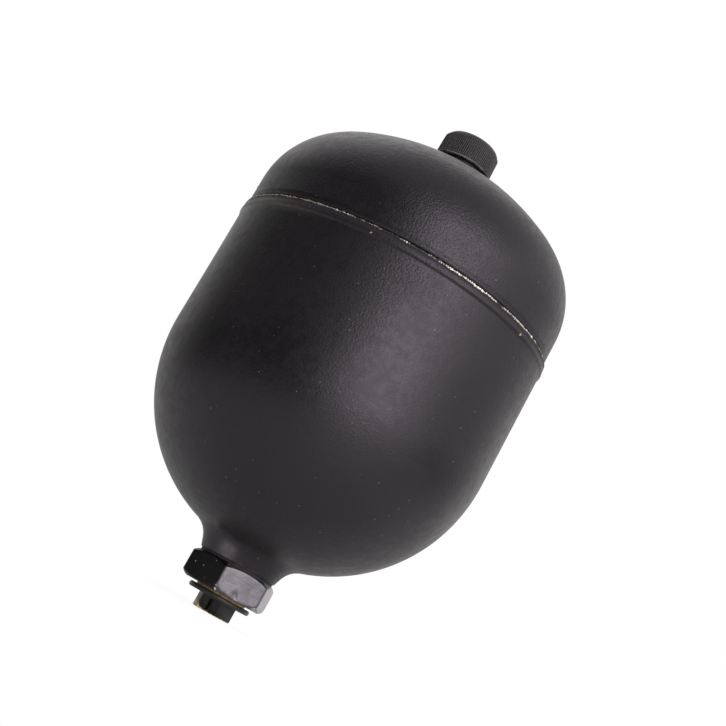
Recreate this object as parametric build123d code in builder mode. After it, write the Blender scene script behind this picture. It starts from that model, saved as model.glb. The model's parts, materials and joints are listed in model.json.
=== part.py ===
"""Hydraulic accumulator, welded from two steel shells, with its bladder, port body and gas cap.

The frame is in millimetres. The origin is the centre of the fluid port's outer face, and +Z runs
up the axis to the gas end. Every height is worked out upwards from the port face.
"""
import os
from math import acos, atan2, cos, degrees, radians, sqrt

from build123d import *

os.makedirs("parts", exist_ok=True)

# ---- driving dimensions -------------------------------------------------------------------

# Port body: hexagon, sealing washer and threaded shank
port_hex_af = 41.0            # across flats
port_hex_height = 14.4
port_hex_turn = 20.0          # degrees, from the vertex at +X
hex_face_r = 19.6             # flat left inside the 30 degree chamfer
hex_chamfer_angle = 30.0
shank_r = 16.5                # M33 x 1.5
shank_length = 16.6           # from the hexagon's inner face
shank_relief_r = 15.3
shank_relief_length = 2.6
shank_tip_chamfer = 1.0
port_thread_r = 12.66         # G 3/4, drawn at its pitch radius
port_thread_depth = 17.0
port_mouth_r = 13.6
passage_r = 7.0
drill_angle = 59.0            # half angle of the drill point
washer_t = 1.0
washer_r = 19.5
washer_hole_r = 16.7

# Lower shell: neck, dome, barrel and collar
wall = 7.5
neck_r = 20.1
neck_top_r = 23.8              # where its slope would meet the dome
neck_drop = 7.3               # from the dome's pole down to the neck's end face
neck_blend_r = 12.0           # the neck flares into the dome
barrel_r = 86.5
lower_dome_inset = 2.7        # the dome's arc is this much smaller, so its pole is nearly flat
barrel_length = 61.6
collar_rise = 0.7             # above the barrel
collar_fall = 0.45            # back down at the weld
collar_width = 5.5
collar_step_length = 1.3      # slope from the barrel up to the collar

# Weld
weld_gap = 1.8
weld_crown = 0.6             # above the straight line between the shells' edges

# Upper shell: turned land, skirt, dome and gas stud
upper_inset = 0.8             # the upper shell is this much smaller than the barrel
land_cut = 0.35               # depth of the turned land beside the weld
land_length = 1.5
land_slope_length = 1.6
skirt_length = 16.1           # from the weld's middle to the dome's rim
upper_knuckle_r = 42.0
upper_crown_r = 121.5
stud_root_r = 14.6
stud_root_height = 3.6        # above the dome's pole
stud_r = 14.0                 # M28 x 1.5
stud_height = 17.8            # above the dome's pole
stud_chamfer = 1.0
stud_fillet_r = 1.5
gas_hole_r = 2.0
screw_seat_height = 1.2       # above the dome's pole

# Clamp ring and bladder
recess_depth = 1.5            # turned into both shells beside the weld
recess_below_weld = 16.4
recess_above_weld = 9.8
ring_wall = 4.4
tongue_inset = 2.3            # from the ring's outside to the tongue's middle
tongue_width = 1.2
tongue_depth = 2.0
bead_height = 6.0
bladder_wall = 3.0
bladder_gap = 0.4             # to the shell wall
boss_r = 17.0                 # thick middle of the bladder, over the button
boss_cover = 4.5
boss_fillet_r = 3.0

# Closing button, moulded into the bladder's floor
button_r = 13.5
button_t = 4.0
button_neck_r = 5.7
button_neck_length = 3.0
button_head_r = 8.7
button_head_t = 2.6
button_edge_r = 0.6

# Gas charging screw and its seal ring
screw_r = 5.9
screw_length = 12.0
screw_nose_r = 3.8
screw_nose_length = 2.1
screw_socket_af = 6.0
screw_socket_depth = 6.0
screw_chamfer = 0.6
seal_section_r = 0.9

# Protective cap
cap_gap = 6.0                 # from the dome's pole up to the cap's rim
cap_r = 15.8
cap_top_r = 15.3
cap_height = 15.1
cap_shoulder_r = 4.0
cap_top_t = 2.4
cap_rim_chamfer = 0.4
rib_count = 90
rib_depth = 0.32
rib_plain_rim = 1.1
rib_top_margin = 1.2

# Transport plug
plug_gap = 0.9                # thread left showing between the port face and the flange
plug_flange_r = 16.35
plug_flange_t = 2.5
plug_flange_edge_r = 1.1
plug_collar_r = 13.1
plug_collar_length = 1.2
plug_thread_length = 11.5
plug_wall = 2.2
plug_head_af = 18.0
plug_head_height = 7.3
plug_head_turn = 43.5         # degrees
plug_head_chamfer = 0.5
plug_slot_width = 2.3
plug_slot_depth = 6.7
plug_slot_turn = 73.5         # degrees, through the middle of two flats

# Clearances
thread_clearance = 0.1
slide_clearance = 0.1

# ---- heights and radii that follow ---------------------------------------------------------

lower_dome_r = barrel_r - lower_dome_inset
collar_r = barrel_r + collar_rise
collar_edge_r = collar_r - collar_fall
upper_r = barrel_r - upper_inset
land_r = upper_r - land_cut
neck_z = port_hex_height + washer_t
lower_rim_z = neck_z + neck_drop + lower_dome_r
inner_barrel_r = barrel_r - wall
inner_upper_r = upper_r - wall
recess_r = inner_barrel_r + recess_depth


def dome_centre_drop(radius, knuckle, crown):
    """Distance along the axis from the crown's centre to the knuckle's centre."""
    return sqrt((crown - knuckle) ** 2 - (radius - knuckle) ** 2)


collar_z = lower_rim_z + barrel_length
weld_z = collar_z + collar_width
weld_low_z = weld_z - weld_gap / 2
weld_high_z = weld_z + weld_gap / 2
upper_rim_z = weld_z + skirt_length
upper_pole_z = upper_rim_z + upper_crown_r - dome_centre_drop(upper_r, upper_knuckle_r, upper_crown_r)
shoulder_z = weld_z - recess_below_weld
upper_shoulder_z = weld_z + recess_above_weld
ring_bottom_z = shoulder_z + bead_height
ring_r = recess_r - slide_clearance
tongue_r = ring_r - tongue_inset
stud_top_z = upper_pole_z + stud_height
screw_seat_z = upper_pole_z + screw_seat_height
cap_z = upper_pole_z + cap_gap
shank_top_z = port_hex_height + shank_length


def upper_dome_arcs(depth, end_r):
    """Knuckle and crown arcs of the upper dome, at a depth under its outside, as far as end_r.

    Returns the height of the arcs' last point.
    """
    drop = dome_centre_drop(upper_r, upper_knuckle_r, upper_crown_r)
    join = degrees(atan2(drop, upper_r - upper_knuckle_r))
    crown = upper_crown_r - depth
    last = degrees(acos(end_r / crown))
    CenterArc((upper_r - upper_knuckle_r, upper_rim_z), upper_knuckle_r - depth, 0, join)
    CenterArc((0, upper_rim_z - drop), crown, join, last - join)
    return upper_rim_z - drop + sqrt(crown ** 2 - end_r ** 2)


def lower_dome_arc(depth, end_r):
    """Arc of the lower dome, at a depth under its outside, from its rim down to end_r.

    Returns the height of the arc's last point.
    """
    centre_r = barrel_r - lower_dome_r
    radius = lower_dome_r - depth
    sweep = degrees(acos((end_r - centre_r) / radius))
    CenterArc((centre_r, lower_rim_z), radius, 0, -sweep)
    return lower_rim_z - sqrt(radius ** 2 - (end_r - centre_r) ** 2)


def hexagon_cone_profile(across_flats, height, face_r, angle, low_z):
    """Half profile of a bar that trims a hexagon's corners at both ends."""
    corner_r = across_flats / 2 / cos(radians(30)) + 1
    drop = (corner_r - face_r) * sqrt(1 / cos(radians(angle)) ** 2 - 1)
    Polyline(
        (0, low_z),
        (face_r, low_z),
        (corner_r, low_z + drop),
        (corner_r, low_z + height - drop),
        (face_r, low_z + height),
        (0, low_z + height),
        close=True,
    )


# ---- lower shell: neck, dome and barrel in one pressing ------------------------------------

with BuildPart() as fluid_side_shell:
    with BuildSketch(Plane.XZ):
        with BuildLine():
            neck_top_z = lower_dome_arc(0, neck_top_r)
            Polyline(
                (barrel_r, lower_rim_z),
                (barrel_r, collar_z),
                (collar_r, collar_z + collar_step_length),
                (collar_edge_r, weld_low_z),
                (recess_r, weld_low_z),
                (recess_r, shoulder_z),
                (inner_barrel_r, shoulder_z),
                (inner_barrel_r, lower_rim_z),
            )
            neck_bore_r = shank_r + thread_clearance
            mouth_z = lower_dome_arc(wall, neck_bore_r)
            Polyline(
                (neck_bore_r, mouth_z),
                (neck_bore_r, neck_z),
                (neck_r, neck_z),
                (neck_top_r, neck_top_z),
            )
        make_face()
    revolve(axis=Axis.Z)
    neck_edge = fluid_side_shell.edges().filter_by(GeomType.CIRCLE)
    neck_edge = neck_edge.filter_by(lambda edge: abs(edge.radius - neck_top_r) < 0.01)
    fillet(neck_edge, radius=neck_blend_r)
fluid_side_shell.part.label = "fluid_side_shell"
export_step(fluid_side_shell.part, "parts/fluid_side_shell.step")

# ---- upper shell: dome with the threaded gas stud ------------------------------------------

with BuildPart() as gas_side_shell:
    with BuildSketch(Plane.XZ):
        with BuildLine():
            stud_foot_z = upper_dome_arcs(0, stud_root_r)
            Polyline(
                (upper_r, upper_rim_z),
                (upper_r, weld_high_z + land_length + land_slope_length),
                (land_r, weld_high_z + land_length),
                (land_r, weld_high_z),
                (recess_r, weld_high_z),
                (recess_r, upper_shoulder_z),
                (inner_upper_r, upper_shoulder_z),
                (inner_upper_r, upper_rim_z),
            )
            gas_mouth_z = upper_dome_arcs(wall, gas_hole_r)
            screw_hole_r = screw_r + thread_clearance
            Polyline(
                (gas_hole_r, gas_mouth_z),
                (gas_hole_r, screw_seat_z),
                (screw_hole_r, screw_seat_z),
                (screw_hole_r, stud_top_z),
                (stud_r - stud_chamfer, stud_top_z),
                (stud_r, stud_top_z - stud_chamfer),
                (stud_r, upper_pole_z + stud_root_height),
                (stud_root_r, upper_pole_z + stud_root_height),
                (stud_root_r, stud_foot_z),
            )
        make_face()
    revolve(axis=Axis.Z)
    foot_edge = gas_side_shell.edges().filter_by(GeomType.CIRCLE)
    foot_edge = foot_edge.filter_by(
        lambda edge: abs(edge.radius - stud_root_r) < 0.01
        and abs(edge.arc_center.Z - stud_foot_z) < 0.01
    )
    fillet(foot_edge, radius=stud_fillet_r)
gas_side_shell.part.label = "gas_side_shell"
export_step(gas_side_shell.part, "parts/gas_side_shell.step")

# ---- weld that joins the shells ------------------------------------------------------------

with BuildPart() as weld_bead:
    with BuildSketch(Plane.XZ):
        with BuildLine():
            Polyline(
                (land_r, weld_high_z),
                (recess_r, weld_high_z),
                (recess_r, weld_low_z),
                (collar_edge_r, weld_low_z),
            )
            ThreePointArc(
                (collar_edge_r, weld_low_z),
                ((collar_edge_r + land_r) / 2 + weld_crown, weld_z),
                (land_r, weld_high_z),
            )
        make_face()
    revolve(axis=Axis.Z)
weld_bead.part.label = "weld_bead"
export_step(weld_bead.part, "parts/weld_bead.step")

# ---- clamp ring: holds the bladder's bead and backs the weld -------------------------------

with BuildPart() as clamp_ring:
    with BuildSketch(Plane.XZ):
        with BuildLine():
            ring_inner_r = ring_r - ring_wall
            tongue_bottom_z = ring_bottom_z - tongue_depth
            Polyline(
                (ring_inner_r, ring_bottom_z),
                (tongue_r - tongue_width / 2, ring_bottom_z),
                (tongue_r - tongue_width / 2, tongue_bottom_z),
                (tongue_r + tongue_width / 2, tongue_bottom_z),
                (tongue_r + tongue_width / 2, ring_bottom_z),
                (ring_r, ring_bottom_z),
                (ring_r, upper_shoulder_z),
                (ring_inner_r, upper_shoulder_z),
                close=True,
            )
        make_face()
    revolve(axis=Axis.Z)
    chamfer(clamp_ring.edges().group_by(Axis.Z)[-1], length=ring_wall / 6)
clamp_ring.part.label = "clamp_ring"
export_step(clamp_ring.part, "parts/clamp_ring.step")

# ---- closing button: a steel mushroom that covers the port passage -------------------------

button_z = shank_top_z
button_top_z = button_z + button_t
button_neck_top_z = button_top_z + button_neck_length
button_head_z = button_neck_top_z + button_head_t

with BuildPart() as closing_button:
    with BuildSketch(Plane.XZ):
        with BuildLine():
            Polyline(
                (0, button_z),
                (button_r, button_z),
                (button_r, button_top_z),
                (button_neck_r, button_top_z),
                (button_neck_r, button_neck_top_z),
                (button_head_r, button_neck_top_z),
                (button_head_r, button_head_z),
                (0, button_head_z),
                close=True,
            )
        make_face()
    revolve(axis=Axis.Z)
    fillet(closing_button.edges().group_by(Axis.Z)[0], radius=button_edge_r)
closing_button.part.label = "closing_button"
export_step(closing_button.part, "parts/closing_button.step")

# ---- bladder: a deep rubber cup with a clamped bead and a boss moulded round the button ----

with BuildPart() as bladder:
    bladder_r = inner_barrel_r - bladder_gap
    boss_top_z = button_head_z + boss_cover
    bead_r = ring_r
    bladder_inner_r = bladder_r - bladder_wall
    with BuildSketch(Plane.XZ):
        with BuildLine():
            pocket_r = button_r + slide_clearance
            pocket_z = lower_dome_arc(wall + bladder_gap, pocket_r)
            Polyline(
                (pocket_r, pocket_z),
                (pocket_r, button_top_z),
                (button_neck_r + slide_clearance, button_top_z),
                (button_neck_r + slide_clearance, button_neck_top_z - slide_clearance),
                (button_head_r + slide_clearance, button_neck_top_z - slide_clearance),
                (button_head_r + slide_clearance, button_head_z),
                (0, button_head_z),
                (0, boss_top_z),
                (boss_r, boss_top_z),
            )
            floor_z = lower_dome_arc(wall + bladder_gap + bladder_wall, boss_r)
            Line((boss_r, boss_top_z), (boss_r, floor_z))
            groove_half = tongue_width / 2 + slide_clearance
            groove_z = tongue_bottom_z - slide_clearance
            Polyline(
                (bladder_inner_r, lower_rim_z),
                (bladder_inner_r, ring_bottom_z),
                (tongue_r - groove_half, ring_bottom_z),
                (tongue_r - groove_half, groove_z),
                (tongue_r + groove_half, groove_z),
                (tongue_r + groove_half, ring_bottom_z),
                (bead_r, ring_bottom_z),
                (bead_r, shoulder_z),
                (bladder_r, shoulder_z),
                (bladder_r, lower_rim_z),
            )
        make_face()
    revolve(axis=Axis.Z)
    boss_edge = bladder.edges().filter_by(GeomType.CIRCLE)
    boss_edge = boss_edge.filter_by(lambda edge: abs(edge.radius - boss_r) < 0.01)
    fillet(boss_edge, radius=boss_fillet_r)
bladder.part.label = "bladder"
export_step(bladder.part, "parts/bladder.step")

# ---- port body: hexagon, shank and stepped passage -----------------------------------------

with BuildPart() as port_body:
    with BuildSketch(Plane.XY):
        RegularPolygon(
            radius=port_hex_af / 2, side_count=6, major_radius=False, rotation=port_hex_turn
        )
    extrude(amount=port_hex_height)
    with BuildSketch(Plane.XZ):
        with BuildLine():
            hexagon_cone_profile(port_hex_af, port_hex_height, hex_face_r, hex_chamfer_angle, 0)
        make_face()
    revolve(axis=Axis.Z, mode=Mode.INTERSECT)
    with BuildSketch(Plane.XZ):
        with BuildLine():
            relief_z = port_hex_height + shank_relief_length
            Polyline(
                (0, port_hex_height),
                (shank_relief_r, port_hex_height),
                (shank_relief_r, relief_z),
                (shank_r, relief_z + (shank_r - shank_relief_r)),
                (shank_r, shank_top_z - shank_tip_chamfer),
                (shank_r - shank_tip_chamfer, shank_top_z),
                (0, shank_top_z),
                close=True,
            )
        make_face()
    revolve(axis=Axis.Z)
    with BuildSketch(Plane.XZ):
        with BuildLine():
            drill_length = (port_thread_r - passage_r) / sqrt(1 / cos(radians(drill_angle)) ** 2 - 1)
            mouth_depth = port_mouth_r - port_thread_r
            Polyline(
                (0, 0),
                (port_mouth_r, 0),
                (port_thread_r, mouth_depth),
                (port_thread_r, port_thread_depth),
                (passage_r, port_thread_depth + drill_length),
                (passage_r, shank_top_z),
                (0, shank_top_z),
                close=True,
            )
        make_face()
    revolve(axis=Axis.Z, mode=Mode.SUBTRACT)
port_body.part.label = "port_body"
export_step(port_body.part, "parts/port_body.step")

# ---- sealing washer between the hexagon and the neck ---------------------------------------

with BuildPart() as port_sealing_washer:
    with BuildSketch(Plane.XY.offset(port_hex_height)):
        Circle(washer_r)
        Circle(washer_hole_r, mode=Mode.SUBTRACT)
    extrude(amount=washer_t)
port_sealing_washer.part.label = "port_sealing_washer"
export_step(port_sealing_washer.part, "parts/port_sealing_washer.step")

# ---- gas charging screw with its socket, and the ring that seals its nose ------------------

screw_shoulder_z = screw_seat_z + screw_nose_length
screw_top_z = screw_shoulder_z + screw_length

with BuildPart() as gas_charging_screw:
    with BuildSketch(Plane.XY.offset(screw_shoulder_z)):
        Circle(screw_r)
    extrude(amount=screw_length)
    chamfer(gas_charging_screw.edges().group_by(Axis.Z)[-1], length=screw_chamfer)
    with BuildSketch(Plane.XY.offset(screw_seat_z + slide_clearance)):
        Circle(screw_nose_r)
    extrude(amount=screw_nose_length - slide_clearance)
    with BuildSketch(Plane.XY.offset(screw_top_z)):
        RegularPolygon(radius=screw_socket_af / 2, side_count=6, major_radius=False)
    extrude(amount=-screw_socket_depth, mode=Mode.SUBTRACT)
gas_charging_screw.part.label = "gas_charging_screw"
export_step(gas_charging_screw.part, "parts/gas_charging_screw.step")

with BuildPart() as screw_seal_ring:
    seal_r = (screw_nose_r + screw_hole_r) / 2
    with BuildSketch(Plane.XZ):
        with Locations((seal_r, screw_seat_z + screw_nose_length / 2)):
            Circle(seal_section_r)
    revolve(axis=Axis.Z)
screw_seal_ring.part.label = "screw_seal_ring"
export_step(screw_seal_ring.part, "parts/screw_seal_ring.step")

# ---- protective cap: ribbed grip, round shoulder, bore for the stud ------------------------

cap_top_z = cap_z + cap_height
cap_bore_r = stud_r + thread_clearance

with BuildPart() as protective_cap:
    with BuildSketch(Plane.XZ):
        with BuildLine():
            Polyline(
                (0, cap_top_z),
                (cap_top_r, cap_top_z),
                (cap_r, cap_z),
                (cap_bore_r, cap_z),
                (cap_bore_r, cap_top_z - cap_top_t),
                (0, cap_top_z - cap_top_t),
                close=True,
            )
        make_face()
    revolve(axis=Axis.Z)
    fillet(protective_cap.edges().group_by(Axis.Z)[-1], radius=cap_shoulder_r)
    rim_edges = protective_cap.edges().group_by(Axis.Z)[0].sort_by(SortBy.RADIUS)
    chamfer(rim_edges[-1], length=cap_rim_chamfer)
    rib_pitch_angle = 360 / rib_count
    rib_low_z = cap_z + rib_plain_rim
    rib_length = cap_height - rib_plain_rim - rib_top_margin
    with BuildSketch(Plane.XY.offset(rib_low_z)):
        with PolarLocations(cap_r, rib_count):
            Polygon(
                (-rib_depth, 0),
                (rib_depth, -2 * rib_depth),
                (rib_depth, 2 * rib_depth),
                align=None,
            )
    extrude(amount=rib_length, mode=Mode.SUBTRACT)
protective_cap.part.label = "protective_cap"
export_step(protective_cap.part, "parts/protective_cap.step")

# ---- transport plug: hollow thread, flange and slotted hexagon head in one moulding --------

flange_top_z = -plug_gap
flange_low_z = flange_top_z - plug_flange_t
plug_top_z = flange_top_z + plug_collar_length + plug_thread_length
plug_thread_r = port_thread_r - thread_clearance
plug_end_z = flange_low_z - plug_head_height

with BuildPart() as transport_plug:
    with BuildSketch(Plane.XY.offset(plug_end_z)):
        RegularPolygon(
            radius=plug_head_af / 2, side_count=6, major_radius=False, rotation=plug_head_turn
        )
    extrude(amount=plug_head_height)
    chamfer(transport_plug.edges().group_by(Axis.Z)[0], length=plug_head_chamfer)
    with BuildSketch(Plane.XY.offset(flange_low_z)):
        Circle(plug_flange_r)
    extrude(amount=plug_flange_t)
    flange_edges = transport_plug.edges().filter_by(GeomType.CIRCLE)
    flange_edges = flange_edges.filter_by(lambda edge: abs(edge.radius - plug_flange_r) < 0.01)
    fillet(flange_edges, radius=plug_flange_edge_r)
    with BuildSketch(Plane.XY.offset(flange_top_z)):
        Circle(plug_collar_r)
    extrude(amount=plug_collar_length)
    with BuildSketch(Plane.XY.offset(flange_top_z)):
        Circle(plug_thread_r)
    extrude(amount=plug_top_z - flange_top_z)
    with BuildSketch(Plane.XY.offset(plug_top_z)):
        Circle(plug_thread_r - plug_wall)
    extrude(amount=flange_top_z - plug_top_z, mode=Mode.SUBTRACT)
    with BuildSketch(Plane.XY.offset(plug_end_z)):
        Rectangle(plug_head_af * 2, plug_slot_width, rotation=plug_slot_turn)
    extrude(amount=plug_slot_depth, mode=Mode.SUBTRACT)
transport_plug.part.label = "transport_plug"
export_step(transport_plug.part, "parts/transport_plug.step")
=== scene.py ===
"""Finished look of a welded hydraulic accumulator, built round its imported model.

Sizes are in millimetres and are scaled to metres where a mesh is made. A bearing is an angle
round the axis in degrees, from the front (-Y) towards +X.
"""
import json
import random
from math import acos, atan2, cos, degrees, exp, pi, radians, sin, sqrt, tan

import bmesh
import bpy
from mathutils import Matrix, Vector, noise

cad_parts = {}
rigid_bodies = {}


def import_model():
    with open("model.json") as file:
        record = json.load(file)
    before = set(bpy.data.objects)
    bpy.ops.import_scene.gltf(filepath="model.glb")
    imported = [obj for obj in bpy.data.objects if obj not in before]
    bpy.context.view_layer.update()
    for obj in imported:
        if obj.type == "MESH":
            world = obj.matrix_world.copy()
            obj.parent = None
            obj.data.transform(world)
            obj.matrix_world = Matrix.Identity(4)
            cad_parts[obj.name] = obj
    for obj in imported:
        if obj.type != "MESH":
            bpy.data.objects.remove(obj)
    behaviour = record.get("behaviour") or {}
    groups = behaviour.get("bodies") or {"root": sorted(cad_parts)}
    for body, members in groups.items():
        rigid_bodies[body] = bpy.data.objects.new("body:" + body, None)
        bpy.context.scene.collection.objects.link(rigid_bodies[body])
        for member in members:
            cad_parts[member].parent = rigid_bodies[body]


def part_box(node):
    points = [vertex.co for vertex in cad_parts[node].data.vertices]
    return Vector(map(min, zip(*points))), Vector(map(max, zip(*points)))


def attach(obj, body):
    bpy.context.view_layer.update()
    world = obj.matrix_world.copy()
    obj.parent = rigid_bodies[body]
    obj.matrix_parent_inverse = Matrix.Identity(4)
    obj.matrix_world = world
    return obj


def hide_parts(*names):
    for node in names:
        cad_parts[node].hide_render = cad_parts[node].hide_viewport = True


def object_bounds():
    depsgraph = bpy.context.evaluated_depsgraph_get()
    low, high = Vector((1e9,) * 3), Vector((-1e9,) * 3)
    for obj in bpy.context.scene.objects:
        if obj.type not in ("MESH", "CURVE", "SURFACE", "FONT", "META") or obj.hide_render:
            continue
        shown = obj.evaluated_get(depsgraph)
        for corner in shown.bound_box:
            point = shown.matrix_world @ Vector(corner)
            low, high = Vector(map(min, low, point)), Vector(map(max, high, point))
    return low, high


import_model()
cad_box = [list(corner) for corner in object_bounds()]

MM = 0.001

# ---- sizes ---------------------------------------------------------------------------------

SEGMENTS = 512

WALL = 7.5
BARREL_R = 86.5
LOWER_DOME_INSET = 2.7
BARREL_LENGTH = 61.6
COLLAR_RISE = 0.7
COLLAR_FALL = 0.45
COLLAR_STEP = 1.3
COLLAR_WIDTH = 5.5
RECESS_R = 80.5
RECESS_BELOW_WELD = 16.4
RECESS_ABOVE_WELD = 9.8
NECK_R = 20.1
NECK_TOP_R = 23.8
NECK_BLEND_R = 12.0
NECK_BORE_R = 16.6

UPPER_INSET = 0.8
LAND_CUT = 0.35
LAND_LENGTH = 1.5
LAND_SLOPE = 1.6
KNUCKLE_R = 42.0
CROWN_R = 121.5
STUD_ROOT_R = 14.6
STUD_ROOT_HEIGHT = 3.6
STUD_R = 14.0
STUD_HEIGHT = 17.8
THREAD_PITCH = 1.5
GAS_HOLE_R = 2.0
SCREW_HOLE_R = 6.0
SCREW_SEAT = 1.2

HEX_AF = 41.0
HEX_TURN = 20.0
HEX_FACE_R = 19.6
HEX_CHAMFER = 30.0
HEX_SEGMENTS = 432
SHANK_LENGTH = 16.6
SHANK_R = 16.5
SHANK_RELIEF_R = 15.3
SHANK_RELIEF_LENGTH = 2.6
PORT_THREAD_R = 12.66
PORT_THREAD_DEPTH = 17.0
PORT_THREAD_PITCH = 1.814
DRILL_HALF_ANGLE = 59
PORT_MOUTH_R = 13.6
PASSAGE_R = 7.0

CAP_R = 15.8
CAP_TOP_R = 15.5
CAP_SHOULDER_R = 4.6
CAP_WALL_R = 14.1
CAP_TOP_T = 2.4
RIB_COUNT = 90
RIB_DEPTH = 0.50
RIB_R = 0.38
RIB_LEAN = 0.027
RIB_FOOT_R = 15.38
RIB_CREST_R = 15.68
RIB_FADE_Z = (258.5, 260.0)

RIPPLE_COUNT = 430
RIPPLE_SIZE = 0.62
RIPPLE_RING_R = 86.05
RIPPLE_DROP = 0.30
SPATTER_COUNT = 70
SPATTER_SIZE = 0.36

FLOOR_R = 0.45
OBJECT_MIDDLE = 0.13
CAMERA_PLACE = (0.0051, -0.6188, 0.0024)
CAMERA_TILT = 102.0
CAMERA_ROLL = 29.29

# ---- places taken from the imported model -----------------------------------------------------


def heights(node):
    """Lowest and highest point of a node, in millimetres."""
    low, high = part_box(node)
    return low[2] / MM, high[2] / MM


neck_z = heights("fluid_side_shell")[0]
weld_low_z, weld_high_z = heights("weld_bead")
weld_z = (weld_low_z + weld_high_z) / 2
shank_top_z = heights("port_body")[1]
cap_low_z, cap_top_z = heights("protective_cap")
plug_low_z = heights("transport_plug")[0]
stud_top_z = heights("gas_side_shell")[1]
pole_z = stud_top_z - STUD_HEIGHT
collar_z = weld_z - COLLAR_WIDTH
lower_rim_z = collar_z - BARREL_LENGTH
UPPER_R = BARREL_R - UPPER_INSET
crown_drop = sqrt((CROWN_R - KNUCKLE_R) ** 2 - (UPPER_R - KNUCKLE_R) ** 2)
upper_rim_z = pole_z - CROWN_R + crown_drop

# ---- outlines and meshes ---------------------------------------------------------------------


def arc(centre, radius, start, end, spacing):
    """Points along an arc in the half plane; angles in degrees from the radial direction."""
    count = max(2, round(abs(radians(end - start)) * radius / spacing))
    turns = [radians(start + (end - start) * step / count) for step in range(count + 1)]
    return [(centre[0] + radius * cos(a), centre[1] + radius * sin(a)) for a in turns]


def soften(corners, radius, steps=3):
    """Rounds the corners of an open line of points."""
    points = [corners[0]]
    for before, corner, after in zip(corners, corners[1:], corners[2:]):
        into = Vector(corner) - Vector(before)
        out = Vector(after) - Vector(corner)
        bend = into.angle(out)
        reach = min(radius * tan(bend / 2), into.length * 0.45, out.length * 0.45)
        start = Vector(corner) - into.normalized() * reach
        end = Vector(corner) + out.normalized() * reach
        for step in range(steps + 1):
            t = step / steps
            middle = Vector(corner)
            points.append(tuple(start * (1 - t) ** 2 + middle * 2 * t * (1 - t) + end * t * t))
    points.append(corners[-1])
    return points


def divide(points, spacing):
    """Adds points along the runs of a line, so that none is longer than the spacing."""
    divided = [points[0]]
    for start, end in zip(points, points[1:]):
        run = Vector(end) - Vector(start)
        count = max(1, round(run.length / spacing))
        for step in range(1, count + 1):
            divided.append(tuple(Vector(start) + run * step / count))
    return divided


def finish_mesh(name, points, faces, sharp=35.0):
    """Makes an object from points in millimetres, with outward faces and smooth shading."""
    mesh = bpy.data.meshes.new(name)
    mesh.from_pydata([(x * MM, y * MM, z * MM) for x, y, z in points], [], faces)
    work = bmesh.new()
    work.from_mesh(mesh)
    bmesh.ops.recalc_face_normals(work, faces=work.faces)
    work.to_mesh(mesh)
    work.free()
    mesh.shade_smooth()
    mesh.set_sharp_from_angle(angle=radians(sharp))
    piece = bpy.data.objects.new(name, mesh)
    bpy.context.scene.collection.objects.link(piece)
    return piece


def lathe(name, outline, segments=SEGMENTS, shape=None, sharp=35.0):
    """Turns a closed outline of (radius, height) round the axis.

    shape(index, radius, height, bearing) gives each point its own radius and height.
    """
    points, rings = [], []
    for index, (radius, height) in enumerate(outline):
        ring = []
        for step in range(segments if radius > 0 else 1):
            bearing = 360 * step / segments
            r, z = shape(index, radius, height, bearing) if shape else (radius, height)
            ring.append(len(points))
            points.append((r * sin(radians(bearing)), -r * cos(radians(bearing)), z))
        rings.append(ring)
    faces = []
    for low, high in zip(rings, rings[1:] + rings[:1]):
        for step in range(segments):
            after = (step + 1) % segments
            corners = [low[step % len(low)], low[after % len(low)]]
            corners += [high[after % len(high)], high[step % len(high)]]
            corners = list(dict.fromkeys(corners))
            if len(corners) > 2:
                faces.append(corners)
    return finish_mesh(name, points, faces, sharp)


def bearing_of(point):
    return degrees(atan2(point[0], -point[1]))


def spot(bearing, height, place, size, radius=BARREL_R):
    """Soft round field, 1 at its place (bearing, height) and falling off over its size."""
    across = radians((bearing - place[0] + 180) % 360 - 180) * radius
    away = (across ** 2 + (height - place[1]) ** 2) / size ** 2
    return exp(-away) if away < 12 else 0.0


def nowhere(bearing, height):
    return 0.0


def paint_field(piece, name, field):
    """Stores field(bearing, height) at each vertex for the finish to read."""
    layer = piece.data.attributes.new(name, "FLOAT", "POINT")
    values = []
    for vertex in piece.data.vertices:
        values.append(field(bearing_of(vertex.co), vertex.co.z / MM))
    layer.data.foreach_set("value", values)


# ---- finishes --------------------------------------------------------------------------------


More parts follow.
